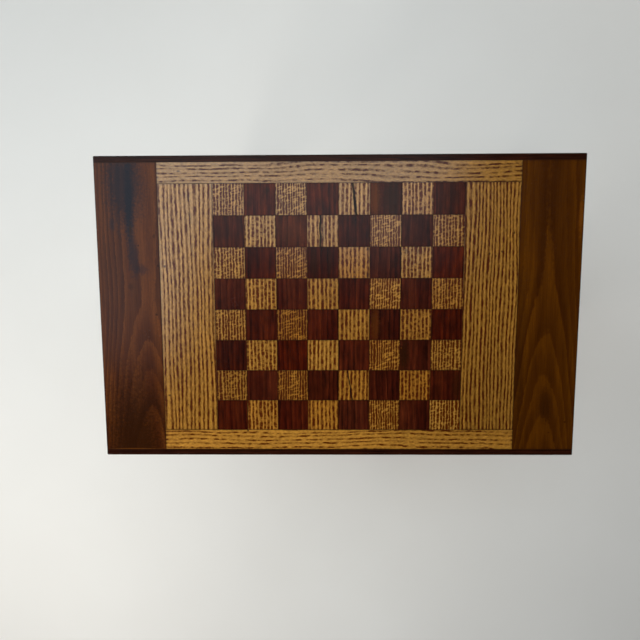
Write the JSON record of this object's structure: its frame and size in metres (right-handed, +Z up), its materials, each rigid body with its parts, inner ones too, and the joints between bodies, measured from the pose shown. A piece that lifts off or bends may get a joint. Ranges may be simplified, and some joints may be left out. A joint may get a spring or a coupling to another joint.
{
  "type": "games table",
  "caption": "Free-standing games table: chequered oak and walnut top in an oak and walnut surround, on tapered legs, with a shallow drawer for the men.",
  "frame": {"origin": "on the floor, under the middle of the top", "axes": "+X along the long sides, to the right for a player who sits at the front; +Y to the back; +Z up; the drawer opens to -Y"},
  "size_m": [0.7874, 0.4948, 0.7112],
  "materials": {
    "walnut": "satin oil",
    "oak": "satin oil",
    "frame_walnut": "satin oil",
    "knob_oak": "satin oil",
    "inner_oak": "bare, sanded",
    "plywood": "bare, sanded",
    "steel": "zinc plated",
    "nylon": "matt"
  },
  "bodies": {
    "table": {"back_apron": "frame_walnut", "back_edge_strip": "walnut", "back_left_leg": "frame_walnut", "back_oak_rail": "oak", "back_right_leg": "frame_walnut", "core_panel": "plywood", "corner_braces": "inner_oak", "drawer_rear_stops": "inner_oak", "drawer_stop_batten": "inner_oak", "foot_glides": "nylon", "front_apron_left": "frame_walnut", "front_apron_right": "frame_walnut", "front_bottom_rail": "frame_walnut", "front_edge_strip": "walnut", "front_left_leg": "frame_walnut", "front_oak_rail": "oak", "front_right_leg": "frame_walnut", "front_top_rail": "frame_walnut", "left_apron": "frame_walnut", "left_drawer_guide": "inner_oak", "left_drawer_kicker": "inner_oak", "left_drawer_runner": "inner_oak", "left_end_board": "walnut", "left_flank_board": "oak", "left_spline": "plywood", "oak_squares": "oak", "right_apron": "frame_walnut", "right_drawer_guide": "inner_oak", "right_drawer_kicker": "inner_oak", "right_drawer_runner": "inner_oak", "right_end_board": "walnut", "right_flank_board": "oak", "right_spline": "plywood", "top_buttons": "inner_oak", "top_screws": "steel", "walnut_squares": "walnut"},
    "drawer": {"drawer_front": "frame_walnut", "drawer_left_side": "inner_oak", "drawer_right_side": "inner_oak", "drawer_back": "inner_oak", "drawer_bottom": "plywood", "drawer_bottom_screws": "steel", "drawer_knob": "knob_oak", "turn_button_screw": "steel"},
    "turn_button": {"drawer_turn_button": "inner_oak"}
  },
  "joints": [
    {"name": "drawer_slide", "type": "slide", "parent": "table", "child": "drawer", "axis": [0, -1, 0], "range_m": [0, 0.2472]},
    {"name": "turn_button_pivot", "type": "hinge", "parent": "drawer", "child": "turn_button", "pos_m": [0, 0.1001, 0.6537], "axis": [0, 1, 0], "range_deg": [0, 90]}
  ]
}
